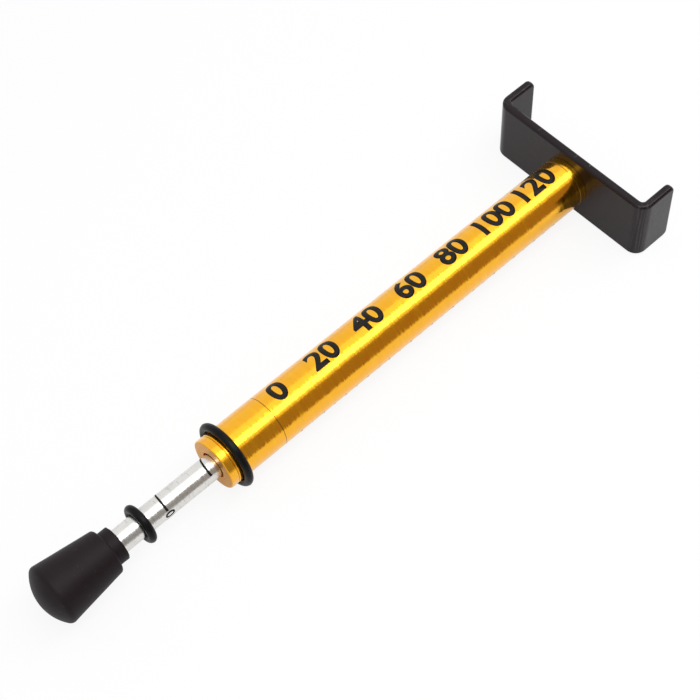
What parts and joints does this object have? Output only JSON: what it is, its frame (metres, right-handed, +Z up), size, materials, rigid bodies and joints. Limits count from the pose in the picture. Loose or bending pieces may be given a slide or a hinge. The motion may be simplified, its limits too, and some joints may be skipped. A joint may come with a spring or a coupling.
{
  "type": "belt tension tester",
  "caption": "Sprung push gauge: a gold tube with a sliding plunger, domed rubber knob and sliding marker rings, ending in a bent black steel cradle that sits across a drive belt.",
  "frame": {"origin": "middle of the belt seat, the inner face of the cradle's base, on the tool's axis", "axes": "+X along the tool's axis from the push knob to the belt, +Y along the cradle's length, +Z up across the cradle's width"},
  "size_m": [0.2536, 0.0694, 0.027],
  "materials": {
    "gold_anodised": "gold anodised, fine turned marks, glossy",
    "bare_aluminium": "drawn, faint scratches, satin",
    "black_rubber": "moulded, matt",
    "ring_rubber": "moulded, low sheen",
    "black_paint": "satin black paint over steel",
    "plated_steel": "zinc plated",
    "black_steel": "black oxide",
    "spring_steel": "drawn wire, oiled",
    "white_acetal": "machined"
  },
  "bodies": {
    "tool_body": {"barrel": "gold_anodised", "nose_cap": "gold_anodised", "tail_plug": "gold_anodised", "cradle": "black_paint", "cradle_screw": "black_steel", "spring": "spring_steel", "spring_shim": "plated_steel"},
    "plunger": {"plunger_rod": "bare_aluminium", "push_knob": "black_rubber", "stop_washer": "black_rubber", "piston": "white_acetal", "piston_washer": "plated_steel", "lock_nut": "plated_steel"},
    "deflection_marker": {"large_ring": "ring_rubber"},
    "force_marker": {"small_ring": "ring_rubber"}
  },
  "joints": [
    {"name": "plunger_slide", "type": "slide", "parent": "tool_body", "child": "plunger", "axis": [1, 0, 0], "range_m": [0, 0.022], "stiffness_N_per_m": 2390, "deforming": ["spring"]},
    {"name": "deflection_marker_slide", "type": "slide", "parent": "tool_body", "child": "deflection_marker", "axis": [1, 0, 0], "range_m": [-0.003, 0.1585]},
    {"name": "force_marker_slide", "type": "slide", "parent": "plunger", "child": "force_marker", "axis": [1, 0, 0], "range_m": [-0.0078, 0.0068]}
  ]
}
